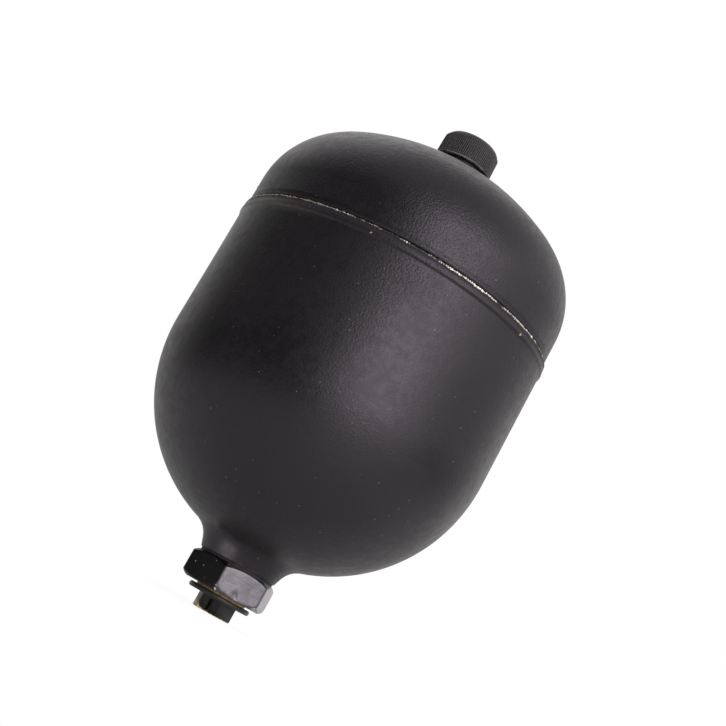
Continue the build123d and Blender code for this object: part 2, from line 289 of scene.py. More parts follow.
class Finish:
    """A procedural material with short calls for the nodes that it is made of."""

    def __init__(self, name):
        self.material = bpy.data.materials.new(name)
        self.material.use_nodes = True
        self.nodes = self.material.node_tree.nodes
        self.links = self.material.node_tree.links
        self.shader = self.nodes["Principled BSDF"]
        self.place = self.nodes.new("ShaderNodeTexCoord").outputs["Object"]

    def put(self, socket, value):
        if isinstance(value, bpy.types.NodeSocket):
            self.links.new(value, socket)
        elif isinstance(value, tuple) and socket.type == "RGBA":
            socket.default_value = (*value, 1.0)
        else:
            socket.default_value = value

    def noise(self, scale, detail=2.0, roughness=0.5, distortion=0.0, place=None):
        node = self.nodes.new("ShaderNodeTexNoise")
        self.put(node.inputs["Vector"], place or self.place)
        node.inputs["Scale"].default_value = scale
        node.inputs["Detail"].default_value = detail
        node.inputs["Roughness"].default_value = roughness
        node.inputs["Distortion"].default_value = distortion
        return node.outputs["Fac"]

    def cells(self, scale, place=None):
        """Distance to the nearest of scattered points, and a random value for each point."""
        node = self.nodes.new("ShaderNodeTexVoronoi")
        self.put(node.inputs["Vector"], place or self.place)
        node.inputs["Scale"].default_value = scale
        chance = self.nodes.new("ShaderNodeSeparateColor")
        self.links.new(node.outputs["Color"], chance.inputs[0])
        return node.outputs["Distance"], chance.outputs[0]

    def stretched(self, scale):
        """Object coordinates scaled by three factors, for streaks."""
        node = self.nodes.new("ShaderNodeMapping")
        self.links.new(self.place, node.inputs["Vector"])
        node.inputs["Scale"].default_value = scale
        return node.outputs["Vector"]

    def axis(self, name):
        node = self.nodes.new("ShaderNodeSeparateXYZ")
        self.links.new(self.place, node.inputs[0])
        return node.outputs[name]

    def field(self, name):
        node = self.nodes.new("ShaderNodeAttribute")
        node.attribute_name = name
        return node.outputs["Fac"]

    def math(self, operation, first, second=0.5):
        node = self.nodes.new("ShaderNodeMath")
        node.operation = operation
        self.put(node.inputs[0], first)
        self.put(node.inputs[1], second)
        return node.outputs[0]

    def step(self, value, low, high, start=0.0, end=1.0):
        """Smooth change from start to end as the value goes from low to high."""
        node = self.nodes.new("ShaderNodeMapRange")
        node.interpolation_type = "SMOOTHSTEP"
        self.put(node.inputs["Value"], value)
        node.inputs["From Min"].default_value = low
        node.inputs["From Max"].default_value = high
        node.inputs["To Min"].default_value = start
        node.inputs["To Max"].default_value = end
        return node.outputs["Result"]

    def blend(self, factor, first, second):
        """Colour that goes from the first to the second with the factor."""
        node = self.nodes.new("ShaderNodeMix")
        node.data_type = "RGBA"
        self.put(node.inputs["Factor"], factor)
        self.put(node.inputs[6], first)
        self.put(node.inputs[7], second)
        return node.outputs[2]

    def bump(self, height, distance, under=None):
        node = self.nodes.new("ShaderNodeBump")
        self.put(node.inputs["Height"], height)
        node.inputs["Distance"].default_value = distance
        if under:
            self.links.new(under, node.inputs["Normal"])
        return node.outputs["Normal"]

    def show(self, colour, roughness, normal=None, metallic=0.0, specular=0.5):
        self.put(self.shader.inputs["Base Color"], colour)
        self.put(self.shader.inputs["Roughness"], roughness)
        self.put(self.shader.inputs["Metallic"], metallic)
        self.shader.inputs["Specular IOR Level"].default_value = specular
        if normal:
            self.links.new(normal, self.shader.inputs["Normal"])
        return self.material


def black_paint(name):
    """Satin black enamel: orange peel, wrinkles where it ran thick, dust, chips to bare steel, and a
    painted highlight along the collar step.
    """
    f = Finish(name)
    cloud = f.noise(14, 3)
    fine = f.noise(260, 3)
    black = f.blend(f.step(cloud, 0.35, 0.65), (0.0055, 0.0049, 0.0056), (0.0085, 0.0076, 0.0086))
    near, chance = f.cells(430)
    lots = f.math("ADD", chance, f.math("MULTIPLY", f.step(f.noise(9, 2), 0.45, 0.7), 0.10))
    dust = f.math("MULTIPLY", f.step(near, 0.10, 0.19, 1, 0), f.step(lots, 0.94, 0.97))
    colour = f.blend(f.math("MULTIPLY", dust, 0.5), black, (0.20, 0.185, 0.165))
    roughness = f.step(f.math("ADD", cloud, fine), 0.8, 1.2, 0.36, 0.46)
    grain = f.noise(1050, 2, 0.5, 0.2)
    peel = f.bump(f.math("MULTIPLY", grain, f.field("wrinkle")), 0.00036)
    normal = f.bump(f.noise(300, 2), 0.00004, peel)
    normal = f.bump(f.noise(60, 2), 0.00010, normal)
    f.shader.inputs["Specular Tint"].default_value = (1.0, 0.905, 1.02, 1.0)
    f.shader.inputs["Sheen Weight"].default_value = 0.05
    f.shader.inputs["Sheen Roughness"].default_value = 0.35
    f.shader.inputs["Sheen Tint"].default_value = (1.0, 0.80, 0.68, 1.0)
    edge = f.math("ADD", f.field("chip"), f.math("MULTIPLY", f.noise(900, 3), 0.5))
    bare = f.step(edge, 0.70, 0.76)
    metal = f.blend(f.noise(700, 3), (0.28, 0.22, 0.15), (0.62, 0.54, 0.42))
    colour = f.blend(bare, colour, metal)
    rust = f.math("ADD", f.field("rust"), f.math("MULTIPLY", f.noise(420, 4, 0.6), 0.8))
    stain = f.step(rust, 0.72, 0.98)
    colour = f.blend(f.math("MULTIPLY", stain, 0.6), colour, (0.055, 0.027, 0.020))
    # Painted highlight: the colour turns pale grey along the collar step where this field is set.
    painted_step_highlight = f.math("MULTIPLY", f.field("rub"), f.step(f.noise(500, 3), 0.30, 0.55, 0.6, 1.0))
    colour = f.blend(painted_step_highlight, colour, (0.46, 0.42, 0.38))
    normal = f.bump(f.math("SUBTRACT", 1.0, bare), 0.00012, normal)
    dull = f.math("MULTIPLY", f.math("MAXIMUM", stain, f.field("soot")), 0.35)
    return f.show(colour, f.math("ADD", roughness, dull), normal)


def weld_metal(name):
    """Weld metal, bright where the brush reached it and under a fine coat of black paint elsewhere."""
    f = Finish(name)
    heat = f.step(f.noise(900, 3, 0.6), 0.35, 0.65)
    metal = f.blend(heat, (0.20, 0.135, 0.085), (0.70, 0.65, 0.56))
    metal = f.blend(f.step(f.field("bare"), 0.56, 0.74), metal, (0.86, 0.83, 0.77))
    tan = f.blend(f.step(f.noise(640, 3, 0.6), 0.38, 0.60), (0.055, 0.040, 0.032), (0.40, 0.31, 0.24))
    metal = f.blend(f.field("scale"), metal, tan)
    broken = f.math("ADD", f.noise(380, 3), f.noise(1500, 3))
    cover = f.math("ADD", f.field("bare"), f.math("MULTIPLY", broken, 0.9))
    bare = f.step(cover, 1.38, 1.54)
    colour = f.blend(bare, (0.014, 0.012, 0.012), metal)
    roughness = f.step(bare, 0, 1, 0.42, 0.34)
    normal = f.bump(f.noise(1300, 3), 0.00008)
    return f.show(colour, roughness, normal, metallic=f.math("MULTIPLY", bare, 0.85))


def plated_steel(name):
    """Zinc phosphated steel, mottled grey, with tool marks, brown stains, bright nicks and a painted
    reflection on the facets facing +X.
    """
    f = Finish(name)
    mottle = f.noise(150, 5, 0.62)
    fine = f.noise(1100, 3)
    grey = f.blend(f.step(mottle, 0.32, 0.68), (0.110, 0.099, 0.113), (0.215, 0.196, 0.220))
    grey = f.blend(f.math("MULTIPLY", f.step(fine, 0.35, 0.75), 0.5), grey, (0.17, 0.155, 0.165))
    stain = f.step(f.math("ADD", f.field("stain"), f.math("MULTIPLY", mottle, 0.7)), 0.62, 1.0)
    grey = f.blend(f.math("MULTIPLY", stain, 0.7), grey, (0.11, 0.062, 0.035))
    # Painted reflection: the facets round bearing 50 to 110 are lightened towards pale grey, standing in
    # for the bright surroundings they mirror.
    pale = f.math("MULTIPLY", f.field("pale"), f.step(mottle, 0.3, 0.6, 0.75, 1.0))
    grey = f.blend(pale, grey, (0.62, 0.57, 0.58))
    cover = f.math("ADD", f.field("painted"), f.math("MULTIPLY", f.noise(330, 3), 0.5))
    painted = f.step(cover, 0.72, 0.84)
    film = f.blend(f.step(stain, 0.2, 0.8), (0.0035, 0.0030, 0.0034), (0.040, 0.025, 0.019))
    grey = f.blend(painted, grey, film)
    bright = f.step(f.math("ADD", f.field("nick"), f.math("MULTIPLY", fine, 0.5)), 0.80, 0.92)
    colour = f.blend(bright, grey, (0.86, 0.84, 0.80))
    lines = f.noise(60, 2, 0.5, 0.0, f.stretched((1.0, 1.0, 42.0)))
    roughness = f.step(f.math("ADD", mottle, lines), 0.8, 1.25, 0.34, 0.52)
    normal = f.bump(lines, 0.00006)
    normal = f.bump(f.noise(420, 4, 0.6), 0.00009, normal)
    metal = f.math("MULTIPLY", f.math("SUBTRACT", 1.0, painted), 0.85)
    return f.show(colour, roughness, normal, metallic=metal, specular=0.22)


def machined_steel(name):
    """Turned steel with fine rings from the tool and a slight film of oil."""
    f = Finish(name)
    rings = f.noise(40, 2, 0.5, 0.0, f.stretched((1.0, 1.0, 60.0)))
    oil = f.noise(90, 3)
    colour = f.blend(oil, (0.42, 0.41, 0.40), (0.58, 0.57, 0.55))
    roughness = f.step(f.math("ADD", rings, oil), 0.7, 1.3, 0.22, 0.42)
    return f.show(colour, roughness, f.bump(rings, 0.00005), metallic=1.0)


def rubber(name, dark, light, grain):
    """Moulded rubber: matt, finely grained, with a pale bloom in patches."""
    f = Finish(name)
    bloom = f.noise(45, 4, 0.6)
    colour = f.blend(f.step(bloom, 0.4, 0.75), dark, light)
    roughness = f.step(f.noise(grain, 2), 0.3, 0.7, 0.55, 0.75)
    normal = f.bump(f.noise(grain * 3, 3), 0.00005)
    return f.show(colour, roughness, normal, specular=0.35)


def cap_plastic(name):
    """Dark moulded plastic with dust specks, painted shade in the grooves between its ribs and a painted
    highlight on the lower edge of its rim.
    """
    f = Finish(name)
    cloud = f.noise(110, 4, 0.6)
    colour = f.blend(f.step(cloud, 0.35, 0.7), (0.034, 0.030, 0.031), (0.055, 0.049, 0.051))
    flat = f.nodes.new("ShaderNodeVectorMath")
    flat.operation = "MULTIPLY"
    f.links.new(f.place, flat.inputs[0])
    flat.inputs[1].default_value = (1, 1, 0)
    out = f.nodes.new("ShaderNodeVectorMath")
    out.operation = "LENGTH"
    f.links.new(flat.outputs[0], out.inputs[0])
    taper = f.math("MULTIPLY", f.math("SUBTRACT", f.axis("Z"), cap_low_z * MM), RIB_LEAN)
    # Painted shade: the colour darkens in the grooves between the ribs, less so over the shoulder.
    groove_shade = f.step(
        f.math("ADD", out.outputs["Value"], taper), RIB_FOOT_R * MM, RIB_CREST_R * MM, 1, 0
    )
    fade = f.step(f.axis("Z"), RIB_FADE_Z[0] * MM, RIB_FADE_Z[1] * MM, 1, 0.25)
    groove_shade = f.math("MULTIPLY", groove_shade, fade)
    colour = f.blend(f.math("MULTIPLY", groove_shade, 0.65), colour, (0.006, 0.005, 0.005))
    near, chance = f.cells(420)
    dust = f.math("MULTIPLY", f.step(near, 0.12, 0.2, 1, 0), f.step(chance, 0.9, 0.93))
    colour = f.blend(f.math("MULTIPLY", dust, 0.4), colour, (0.30, 0.28, 0.25))
    # Painted highlight: a lighter band along the lowest part of the rim.
    rub = f.step(f.axis("Z"), (cap_low_z + 0.45) * MM, (cap_low_z + 0.8) * MM, 1, 0)
    colour = f.blend(f.math("MULTIPLY", rub, f.step(cloud, 0.4, 0.6)), colour, (0.24, 0.22, 0.23))
    roughness = f.step(cloud, 0.3, 0.7, 0.48, 0.62)
    normal = f.bump(f.noise(900, 3), 0.00005)
    return f.show(colour, roughness, normal)


def plug_plastic(name):
    """Yellow moulding with black overspray that thins out towards its unpainted side, and a painted sheen
    on its flange and its right-hand head facets.
    """
    f = Finish(name)
    cloud = f.noise(170, 4, 0.6)
    gold = f.blend(cloud, (0.66, 0.42, 0.13), (0.92, 0.70, 0.32))
    spray = f.math("ADD", f.field("spray"), f.math("MULTIPLY", f.noise(520, 4, 0.65), 0.7))
    black = f.step(spray, 0.62, 0.86)
    # Painted sheen: the black is lightened to grey on the flange and on the head facets round bearing 17
    # to 80.
    film = f.blend(f.field("thin"), (0.006, 0.005, 0.005), (0.050, 0.045, 0.050))
    colour = f.blend(black, gold, film)
    roughness = f.step(f.math("ADD", cloud, black), 0.4, 1.4, 0.22, 0.32)
    normal = f.bump(f.noise(700, 3), 0.00004)
    normal = f.bump(f.noise(140, 2), 0.00008, normal)
    return f.show(colour, roughness, normal, specular=0.35)


# ---- geometry nodes --------------------------------------------------------------------------


class Tree:
    """A geometry node tree with named sizes as its inputs."""

    def __init__(self, name, sizes):
        self.group = bpy.data.node_groups.new(name, "GeometryNodeTree")
        face = self.group.interface
        face.new_socket("Geometry", in_out="INPUT", socket_type="NodeSocketGeometry")
        self.ids = {}
        for key, value in sizes.items():
            kind = "NodeSocketInt" if isinstance(value, int) else "NodeSocketFloat"
            socket = face.new_socket(key, in_out="INPUT", socket_type=kind)
            socket.default_value = value
            self.ids[key] = socket.identifier
        face.new_socket("Geometry", in_out="OUTPUT", socket_type="NodeSocketGeometry")
        self.start = self.group.nodes.new("NodeGroupInput")
        self.end = self.group.nodes.new("NodeGroupOutput")
        self.sizes = sizes

    def size(self, key):
        return self.start.outputs[key]

    def add(self, kind, settings=None, **inputs):
        node = self.group.nodes.new(kind)
        for key, value in (settings or {}).items():
            setattr(node, key, value)
        for key, value in inputs.items():
            socket = node.inputs[key.replace("_", " ")]
            if isinstance(value, bpy.types.NodeSocket):
                self.group.links.new(value, socket)
            else:
                socket.default_value = value
        return node

    def math(self, operation, first, second=0.0):
        node = self.group.nodes.new("ShaderNodeMath")
        node.operation = operation
        for socket, value in zip(node.inputs, (first, second)):
            if isinstance(value, bpy.types.NodeSocket):
                self.group.links.new(value, socket)
            else:
                socket.default_value = value
        return node.outputs[0]

    def vector(self, x, y, z):
        return self.add("ShaderNodeCombineXYZ", X=x, Y=y, Z=z).outputs[0]

    def chance(self, low, high, seed):
        node = self.add("FunctionNodeRandomValue", {"data_type": "FLOAT"})
        node.inputs[2].default_value = low
        node.inputs[3].default_value = high
        node.inputs["Seed"].default_value = seed
        return node.outputs[1]

    def join(self, *parts):
        node = self.group.nodes.new("GeometryNodeJoinGeometry")
        for part in parts:
            self.group.links.new(part, node.inputs[0])
        return node.outputs[0]

    def grow(self, piece, geometry, material):
        """Ends the tree, runs it on a piece and keeps the result as the piece's plain mesh."""
        solid = self.add("GeometryNodeRealizeInstances", Geometry=geometry).outputs[0]
        dressed = self.add("GeometryNodeSetMaterial", Geometry=solid, Material=material)
        self.group.links.new(dressed.outputs[0], self.end.inputs[0])
        modifier = piece.modifiers.new(self.group.name, "NODES")
        modifier.node_group = self.group
        for key, value in self.sizes.items():
            modifier[self.ids[key]] = value
        state = bpy.context.evaluated_depsgraph_get()
        grown = bpy.data.meshes.new_from_object(piece.evaluated_get(state), depsgraph=state)
        piece.modifiers.clear()
        old = piece.data
        piece.data = grown
        bpy.data.meshes.remove(old)
        grown.name = piece.name
        grown.materials.clear()
        grown.materials.append(material)
        for face in grown.polygons:
            face.material_index = 0


def seat(piece, nodes, material=None):
    """Gives a piece its finish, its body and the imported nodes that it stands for."""
    if material:
        piece.data.materials.clear()
        piece.data.materials.append(material)
    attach(piece, "root")
    if nodes:
        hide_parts(*nodes)
    return piece


# ---- shells ----------------------------------------------------------------------------------


def lower_dome(depth, end_r, spacing):
    """Lower dome from its rim down to end_r, at a depth under its outside."""
    radius = BARREL_R - LOWER_DOME_INSET - depth
    sweep = degrees(acos((end_r - LOWER_DOME_INSET) / radius))
    return arc((LOWER_DOME_INSET, lower_rim_z), radius, 0, -sweep, spacing)


def upper_dome(depth, end_r, spacing):
    """Upper dome from its rim up over knuckle and crown to end_r, at a depth under its outside."""
    join = degrees(atan2(crown_drop, UPPER_R - KNUCKLE_R))
    last = degrees(acos(end_r / (CROWN_R - depth)))
    knuckle = arc((UPPER_R - KNUCKLE_R, upper_rim_z), KNUCKLE_R - depth, 0, join, spacing)
    crown = arc((0, upper_rim_z - crown_drop), CROWN_R - depth, join, last, spacing)
    return knuckle + crown[1:]


def forged(outer, strength):
    """Slight waviness of pressed steel, on the first points of an outline only."""

    def shape(index, radius, height, bearing):
        if index >= outer or radius < NECK_TOP_R + 4:
            return radius, height
        x, y = radius * sin(radians(bearing)), -radius * cos(radians(bearing))
        place = Vector((x, y, height))
        wave = noise.noise(place / 34) * 0.7 + noise.noise(place / 11) * 0.3
        return radius - strength * (1 + wave) / 2, height

    return shape


barrel_chips = [
    (45.9, 169.4, 0.75), (47.2, 168.8, 0.5), (-13.6, 169.7, 0.7), (-3.0, 170.6, 0.35),
    (61.0, 170.3, 0.4), (-41.0, 171.9, 0.35), (118.0, 169.2, 0.8), (162.0, 168.6, 0.6),
    (171.0, 170.8, 0.5), (-97.0, 169.0, 0.7), (-128.0, 170.2, 0.45), (-151.0, 168.9, 0.6),
]


def shell_lower():
    """Neck, dome, barrel and collar, with the wall and the recess behind the weld."""
    centre = Vector((LOWER_DOME_INSET, lower_rim_z))
    dome_r = BARREL_R - LOWER_DOME_INSET
    start = Vector((NECK_R, neck_z))
    along = (Vector(lower_dome(0, NECK_TOP_R, 1.5)[-1]) - start).normalized()
    side = Vector((along.y, -along.x))
    # The flare's arc touches the neck's slope and the dome.
    offset = start + side * NECK_BLEND_R - centre
    half = offset.dot(along)
    reach = -half - sqrt(half ** 2 - offset.length_squared + (dome_r + NECK_BLEND_R) ** 2)
    hub = start + side * NECK_BLEND_R + along * abs(reach)
    foot_turn = degrees(atan2(-side.y, -side.x))
    dome_turn = degrees(atan2(centre.y - hub.y, centre.x - hub.x))
    flare = arc(hub, NECK_BLEND_R, foot_turn, dome_turn, 0.9)
    neck = soften([(NECK_BORE_R, neck_z), (NECK_R, neck_z), flare[0]], 0.8)
    flare_r = flare[-1][0]
    dome = [point for point in reversed(lower_dome(0, NECK_TOP_R, 1.55)) if point[0] > flare_r + 0.7]
    collar = soften([
        (BARREL_R, collar_z - 3), (BARREL_R, collar_z),
        (BARREL_R + COLLAR_RISE, collar_z + COLLAR_STEP),
        (BARREL_R + COLLAR_RISE - COLLAR_FALL, weld_low_z),
        (RECESS_R, weld_low_z),
    ], 0.45)
    outer = divide(neck[:-1], 1.2) + flare + dome
    outer = outer + divide([(BARREL_R, lower_rim_z), (BARREL_R, collar_z - 3)], 1.6)[1:]
    outer = outer + divide(collar[1:], 1.2)
    shoulder_z = weld_z - RECESS_BELOW_WELD
    inner = [(RECESS_R, shoulder_z), (BARREL_R - WALL, shoulder_z)]
    inner += lower_dome(WALL, NECK_BORE_R, 8)
    piece = lathe("shell_lower", outer + inner, shape=forged(len(outer) - 1, 0.16))

    def chips(bearing, height):
        if height <= 165:
            return 0.0
        return max(spot(bearing, height, chip[:2], chip[2]) for chip in barrel_chips)

    def wrinkles(bearing, height):
        return (
            0.30 + 0.55 * spot(bearing, height, (9, 163), 12) + 0.25 * spot(bearing, height, (0, 150), 30)
            + 0.4 * spot(bearing, height, (150, 160), 18) + 0.3 * spot(bearing, height, (-75, 120), 20)
        )

    def rust(bearing, height):
        neck = max(0.0, 0.55 - abs(height - neck_z - 0.4) / 3)
        patches = 0.35 + 0.65 * (0.5 + 0.5 * sin(radians(bearing * 3 + 50)))
        band = 0.56 * max(0.0, 1 - abs(height - weld_low_z + 2.2) / 2.6)
        return neck * patches + band * max(
            spot(bearing, 0, (-42, 0), 24), spot(bearing, 0, (140, 0), 30)
        )

    # Painted highlight along the collar step, strongest round bearing -86 and weaker round bearing -48.
    def rub(bearing, height):
        edge = max(0.0, 1 - abs(height - collar_z - 0.6) / 0.9)
        return edge * (
            0.85 * spot(bearing, 0, (-86, 0), 40) + 0.32 * spot(bearing, 0, (-48, 0), 22)
        )

    def soot(bearing, height):
        return 1.0 if height > weld_low_z - 0.4 else 0.0

    paint_field(piece, "chip", chips)
    paint_field(piece, "wrinkle", wrinkles)
    paint_field(piece, "rust", rust)
    paint_field(piece, "rub", rub)
    paint_field(piece, "soot", soot)
    return piece


def shell_upper():
    """Turned land, skirt, dome and gas stud with its thread and bores."""
    land_r = UPPER_R - LAND_CUT
    land = soften([
        (RECESS_R, weld_high_z), (land_r, weld_high_z), (land_r, weld_high_z + LAND_LENGTH),
        (UPPER_R, weld_high_z + LAND_LENGTH + LAND_SLOPE), (UPPER_R, upper_rim_z),
    ], 0.4)
    dome = upper_dome(0, STUD_ROOT_R + 1.2, 1.5)
    foot = upper_dome(0, STUD_ROOT_R, 1.5)[-1]
    root_z = pole_z + STUD_ROOT_HEIGHT
    stem = soften([
        dome[-1], foot, (STUD_ROOT_R, root_z), (STUD_R - 0.7, root_z + 0.4),
    ], 1.0)
    thread = []
    z = root_z + 0.9
    while z < stud_top_z - 1.2:
        thread += [(STUD_R, z), (STUD_R, z + 0.2), (STUD_R - 0.85, z + 0.65)]
        thread += [(STUD_R - 0.85, z + 0.85)]
        z += THREAD_PITCH
    skirt = divide(land, 1.6)
    outer = skirt + dome[1:-1] + stem + thread
    inner = [
        (STUD_R - 1, stud_top_z), (SCREW_HOLE_R, stud_top_z),
        (SCREW_HOLE_R, pole_z + SCREW_SEAT), (GAS_HOLE_R, pole_z + SCREW_SEAT),
    ]
    inner += list(reversed(upper_dome(WALL, GAS_HOLE_R, 8)))
    shoulder_z = weld_z + RECESS_ABOVE_WELD
    inner += [(UPPER_R - WALL, shoulder_z), (RECESS_R, shoulder_z)]
    wave = forged(len(skirt) + len(dome) - 6, 0.14)
    piece = lathe("shell_upper", outer + inner, shape=wave)

    def wrinkles(bearing, height):
        return (
            0.38 + 0.50 * spot(bearing, height, (14, 184), 16) + 0.3 * spot(bearing, height, (0, 200), 25)
            + 0.4 * spot(bearing, height, (-120, 190), 16) + 0.4 * spot(bearing, height, (95, 200), 16)
        )

    def soot(bearing, height):
        return 1.0 if height < weld_high_z + 0.8 else 0.0

    paint_field(piece, "wrinkle", wrinkles)
    paint_field(piece, "soot", soot)
    for name in ("chip", "rust", "rub"):
        paint_field(piece, name, nowhere)
    return piece


# ---- weld ------------------------------------------------------------------------------------

# Start bearing, end bearing and strength of the lengths of weld that show bare metal.
bare_lengths = [
    (-74, -18, 0.68), (-22, -8, 0.58), (-8, 1, 0.68), (5.5, 35, 0.70), (31, 60, 0.66), (56, 72, 0.56),
    (86, 99, 0.68), (110, 141, 0.56), (156, 173, 0.72), (-178, -158, 0.58), (-141, -119, 0.70),
    (-103, -78, 0.58),
]


def weld():
    """Narrow fillet of weld metal with overlapping ripples all the way round."""
    edge_low = BARREL_R + COLLAR_RISE - COLLAR_FALL
    land_r = UPPER_R - LAND_CUT
    outline = [
        (RECESS_R, weld_low_z), (edge_low - 0.25, weld_low_z), (edge_low - 0.15, weld_low_z + 0.5),
        (edge_low - 0.35, weld_z - 0.1), (edge_low - 0.9, weld_z + 0.2),
        (land_r - 1.1, weld_z + 0.45), (land_r - 0.9, weld_high_z - 0.15), (land_r - 0.3, weld_high_z),
        (RECESS_R, weld_high_z),
    ]
    piece = lathe("weld_fillet", outline, 360)
    tree = Tree("weld_ripples", {
        "Ring Radius": RIPPLE_RING_R * MM, "Ring Height": (weld_z - RIPPLE_DROP) * MM,
        "Ripple Count": RIPPLE_COUNT, "Ripple Size": RIPPLE_SIZE * MM,
    })
    ring = tree.add(
        "GeometryNodeMeshCircle", Radius=tree.size("Ring Radius"), Vertices=tree.size("Ripple Count")
    )
    points = tree.add("GeometryNodeMeshToPoints", Mesh=ring.outputs[0])
    shift = tree.vector(0.0, 0.0, tree.math(
        "ADD", tree.size("Ring Height"), tree.chance(-0.20 * MM, 0.20 * MM, 5)
    ))
    placed = tree.add("GeometryNodeSetPosition", Geometry=points.outputs[0], Offset=shift)
    ball = tree.add(
        "GeometryNodeMeshIcoSphere", Radius=tree.size("Ripple Size"), Subdivisions=2
    )
    index = tree.add("GeometryNodeInputIndex").outputs[0]
    turn = tree.math("DIVIDE", tree.math("MULTIPLY", index, 2 * pi), tree.size("Ripple Count"))
    lean = tree.add(
        "FunctionNodeEulerToRotation",
        Euler=tree.vector(0.0, tree.chance(-0.25, 0.25, 6), turn),
    )
    scale = tree.vector(
        tree.chance(0.80, 1.30, 7), tree.chance(0.9, 1.7, 8), tree.chance(0.75, 1.3, 9)
    )
    beads = tree.add(
        "GeometryNodeInstanceOnPoints", Points=placed.outputs[0], Instance=ball.outputs[0],
        Rotation=lean.outputs[0], Scale=scale,
    )
    material = weld_metal("weld_metal")
    tree.grow(piece, tree.join(tree.start.outputs[0], beads.outputs[0]), material)
    piece.data.shade_smooth()

    def bare(bearing, height):
        value = 0.38
        for start, end, strength in bare_lengths:
            reach = min(bearing - start, end - bearing) / 3.5
            value = max(value, strength * min(1.0, max(0.0, reach)))
        return value - 0.45 * min(1.0, abs(height - weld_z + 0.2) / 0.9) ** 2

    def scale_film(bearing, height):
        return min(0.85, spot(bearing, 0, (-52, 0), 34) + spot(bearing, 0, (135, 0), 30))

    paint_field(piece, "bare", bare)
    paint_field(piece, "scale", scale_film)
    return seat(piece, ["weld_bead"])


def spatter(material):
    """Small drops of weld metal that stuck beside the weld and were painted over."""
    seed_mesh = bpy.data.meshes.new("weld_spatter")
    draw = random.Random(11)
    points = []
    for _ in range(SPATTER_COUNT):
        bearing = radians(draw.uniform(-180, 180))
        height = draw.choice([
            draw.uniform(weld_high_z + 1.0, weld_high_z + 9),
            draw.uniform(collar_z + 1.6, weld_low_z - 0.6),
        ])
        radius = UPPER_R - 0.1
        if height < weld_z:
            radius = BARREL_R + COLLAR_RISE - 0.45
        elif height < weld_high_z + LAND_LENGTH:
            radius = UPPER_R - LAND_CUT - 0.1
        points.append((radius * sin(bearing) * MM, -radius * cos(bearing) * MM, height * MM))
    seed_mesh.from_pydata(points, [], [])
    piece = bpy.data.objects.new("weld_spatter", seed_mesh)
    bpy.context.scene.collection.objects.link(piece)
    tree = Tree("spatter_drops", {"Drop Size": SPATTER_SIZE * MM})
    spots = tree.add("GeometryNodeMeshToPoints", Mesh=tree.start.outputs[0])
    ball = tree.add("GeometryNodeMeshIcoSphere", Radius=tree.size("Drop Size"), Subdivisions=2)
    size = tree.chance(0.45, 1.0, 3)
    drops = tree.add(
        "GeometryNodeInstanceOnPoints", Points=spots.outputs[0], Instance=ball.outputs[0],
        Scale=tree.vector(size, size, tree.math("MULTIPLY", size, 0.9)),
    )
    tree.grow(piece, drops.outputs[0], material)
    piece.data.shade_smooth()
    for name in ("wrinkle", "chip", "rust", "rub", "soot"):
        paint_field(piece, name, nowhere)
    return seat(piece, [])


# ---- port body -------------------------------------------------------------------------------

# Bearing, height, size, depth and brightness of each knock on the hexagon.
knocks = [
    (-10.5, 0.8, 1.2, 0.55, 0.9), (-10.5, 2.6, 0.8, 0.30, 0.8), (-6.0, 1.6, 0.8, 0.25, 0.6),
    (16.5, 2.6, 1.5, 0.50, 0.0), (19.5, 1.4, 1.0, 0.35, 0.0), (3.0, 1.2, 0.7, 0.20, 0.5),
    (-58.0, 7.6, 0.50, 0.10, 1.0), (-42.5, 7.7, 0.50, 0.10, 1.0), (-27.0, 12.6, 0.4, 0.10, 0.9),
    (51.0, 1.4, 1.0, 0.55, 1.0), (50.0, 13.6, 0.8, 0.30, 0.7), (-10.0, 13.8, 0.9, 0.35, 0.7),
    (110.0, 1.2, 1.2, 0.5, 0.9), (170.0, 13.2, 1.0, 0.4, 0.8), (-130.0, 1.0, 1.1, 0.4, 0.9),
    (-95.0, 7.0, 1.4, 0.2, 0.5), (145.0, 6.0, 1.2, 0.2, 0.5),
]

# Bearing, height, size and strength of the brown stains on the hexagon.
stains = [
    (-30, 3.0, 2.6, 0.5), (140, 4, 5, 0.5), (14.5, 2.6, 0.5, 0.55), (19.5, 3.0, 0.6, 0.6),
    (17.0, 3.9, 0.6, 0.5), (-150, 10, 4, 0.4),
]


def hexagon_radius(bearing):
    """Radius of the hexagon's side at a bearing, with its corners just broken."""
    off = (bearing - HEX_TURN + 30) % 60 - 30
    flat = HEX_AF / 2 / cos(radians(off))
    corner = HEX_AF / 2 / cos(radians(30)) - 0.25
    return corner - sqrt(max(0.0, corner - flat) ** 2 + 0.02) + 0.07


